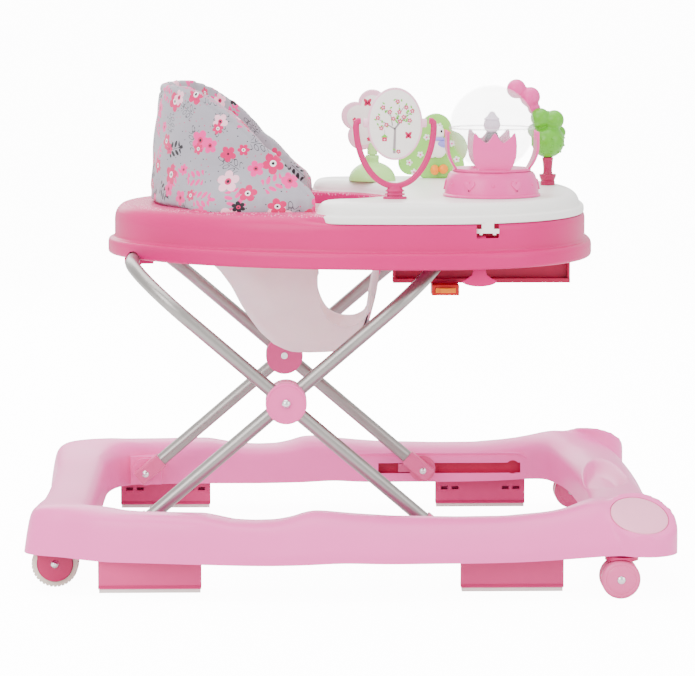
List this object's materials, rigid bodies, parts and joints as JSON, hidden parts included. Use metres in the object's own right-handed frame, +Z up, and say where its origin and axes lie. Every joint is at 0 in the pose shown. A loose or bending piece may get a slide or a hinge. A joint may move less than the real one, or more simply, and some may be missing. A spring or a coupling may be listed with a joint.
{
  "type": "baby walker",
  "caption": "Folding baby walker: wheeled base ring, X frame of steel tubes, tray with padded fabric seat and lift-off activity tray with spinning toys.",
  "frame": {"origin": "on the floor below the middle of the whole walker", "axes": "+X to the front, +Y to the child's left, +Z up"},
  "size_m": [0.7508, 0.678, 0.58],
  "materials": {
    "base_pink": "smooth moulded, satin gloss",
    "deep_pink": "smooth moulded, satin gloss",
    "magenta": "moulded, gloss",
    "white_plastic": "moulded, gloss",
    "toy_pink": "moulded, gloss",
    "toy_green": "moulded, gloss",
    "pale_pink": "moulded, gloss",
    "dark_figure": "moulded, gloss",
    "red_plastic": "moulded, gloss",
    "amber_plastic": "moulded, gloss",
    "clear_plastic": "clear moulded, polished",
    "tube_steel": "satin drawn tube",
    "rivet_chrome": "bright plated",
    "friction_strip": "matte",
    "tread": "matte, notched",
    "print_fabric": "printed woven cotton, padded",
    "liner_fabric": "thin woven liner"
  },
  "bodies": {
    "base": {"base_ring": "base_pink", "corner_housings": "base_pink", "corner_caps": "base_pink", "caster_sockets": "base_pink", "slide_track_left": "deep_pink", "slide_track_right": "deep_pink", "rear_pivot_mounts": "base_pink", "foot_rivets": "rivet_chrome", "rear_forks": "deep_pink", "rear_axles": "rivet_chrome", "stop_bracket_rear_left": "deep_pink", "stop_bracket_rear_right": "deep_pink", "stop_bracket_front_left": "deep_pink", "stop_bracket_front_right": "deep_pink", "stop_strips": "friction_strip"},
    "caster_left": {"caster_fork_left": "base_pink"},
    "caster_right": {"caster_fork_right": "base_pink"},
    "caster_pair_left": {"caster_wheels_left": "base_pink", "caster_axle_left": "rivet_chrome"},
    "caster_pair_right": {"caster_wheels_right": "base_pink", "caster_axle_right": "rivet_chrome"},
    "rear_wheel_left": {"rear_hub_left": "deep_pink", "rear_tyre_left": "tread"},
    "rear_wheel_right": {"rear_hub_right": "deep_pink", "rear_tyre_right": "tread"},
    "inner_frame": {"inner_tube_frame": "tube_steel", "inner_leg_ends": "deep_pink", "inner_hubs": "deep_pink", "hub_rivets": "rivet_chrome"},
    "outer_frame": {"outer_tube_frame": "tube_steel", "outer_leg_ends": "deep_pink", "outer_hubs": "base_pink"},
    "slider_left": {"slide_shoe_left": "deep_pink", "slide_rivet_left": "rivet_chrome"},
    "slider_right": {"slide_shoe_right": "deep_pink", "slide_rivet_right": "rivet_chrome"},
    "tray": {"tray_shell": "magenta", "bar_clamps": "magenta", "guide_channels": "magenta", "storage_hooks": "magenta", "latch_housing": "red_plastic", "seat_back": "print_fabric", "seat_sling": "liner_fabric"},
    "release_button": {"latch_button": "amber_plastic"},
    "activity_tray": {"white_tray": "white_plastic", "mirror_yoke": "magenta", "flower_base": "toy_green", "globe_base": "toy_pink", "globe_figure": "dark_figure", "bush_panel": "toy_green", "bird": "white_plastic", "tree_trunk": "deep_pink", "tree_crown": "toy_green", "blossom": "toy_pink"},
    "mirror": {"mirror": "pale_pink"},
    "flower": {"flower_spinner": "pale_pink"},
    "globe": {"globe_shell": "clear_plastic", "globe_cups": "toy_pink"}
  },
  "joints": [
    {"name": "fold", "type": "hinge", "parent": "base", "child": "inner_frame", "pos_m": [-0.2525, 0, 0.06], "axis": [0, 1, 0], "range_deg": [-4.5, 32]},
    {"name": "scissor", "type": "hinge", "parent": "inner_frame", "child": "outer_frame", "pos_m": [-0.0735, 0, 0.21325], "axis": [0, 1, 0], "range_deg": [-64.5, 9.5]},
    {"name": "tray_level", "type": "hinge", "parent": "outer_frame", "child": "tray", "pos_m": [-0.2525, 0, 0.3665], "axis": [0, 1, 0], "range_deg": [-5, 32.5]},
    {"name": "slide_left", "type": "hinge", "parent": "outer_frame", "child": "slider_left", "pos_m": [0.1055, 0.25, 0.06], "axis": [0, 1, 0], "range_deg": [-5, 32.5]},
    {"name": "slide_right", "type": "hinge", "parent": "outer_frame", "child": "slider_right", "pos_m": [0.1055, -0.25, 0.06], "axis": [0, 1, 0], "range_deg": [-5, 32.5]},
    {"name": "swivel_left", "type": "hinge", "parent": "base", "child": "caster_left", "pos_m": [0.309, 0.309, 0.05], "axis": [0, 0, 1], "continuous": true},
    {"name": "swivel_right", "type": "hinge", "parent": "base", "child": "caster_right", "pos_m": [0.309, -0.309, 0.05], "axis": [0, 0, 1], "continuous": true},
    {"name": "caster_roll_left", "type": "hinge", "parent": "caster_left", "child": "caster_pair_left", "pos_m": [0.304, 0.309, 0.0223], "axis": [0, 1, 0], "continuous": true},
    {"name": "caster_roll_right", "type": "hinge", "parent": "caster_right", "child": "caster_pair_right", "pos_m": [0.304, -0.309, 0.0223], "axis": [0, 1, 0], "continuous": true},
    {"name": "rear_roll_left", "type": "hinge", "parent": "base", "child": "rear_wheel_left", "pos_m": [-0.34, 0.226, 0.027], "axis": [0, 1, 0], "continuous": true},
    {"name": "rear_roll_right", "type": "hinge", "parent": "base", "child": "rear_wheel_right", "pos_m": [-0.34, -0.226, 0.027], "axis": [0, 1, 0], "continuous": true},
    {"name": "lift_off", "type": "slide", "parent": "tray", "child": "activity_tray", "axis": [0, 0, 1], "range_m": [0, 0.12]},
    {"name": "release_press", "type": "slide", "parent": "tray", "child": "release_button", "axis": [0, 1, 0], "range_m": [0, 0.004], "stiffness_N_per_m": 300, "springref_m": -0.002},
    {"name": "mirror_flip", "type": "hinge", "parent": "activity_tray", "child": "mirror", "pos_m": [0.0535, -0.165, 0.529], "axis": [1, 0, 0], "continuous": true},
    {"name": "flower_turn", "type": "hinge", "parent": "activity_tray", "child": "flower", "pos_m": [0.037, 0.15, 0.5], "axis": [0, 0, 1], "continuous": true},
    {"name": "globe_turn", "type": "hinge", "parent": "activity_tray", "child": "globe", "pos_m": [0.169, -0.12, 0.5], "axis": [0, 0, 1], "continuous": true}
  ],
  "couplings": [
    {"joint": "scissor", "follows": "fold", "ratio": -2},
    {"joint": "tray_level", "follows": "fold", "ratio": 1},
    {"joint": "slide_left", "follows": "fold", "ratio": 1},
    {"joint": "slide_right", "follows": "fold", "ratio": 1}
  ]
}
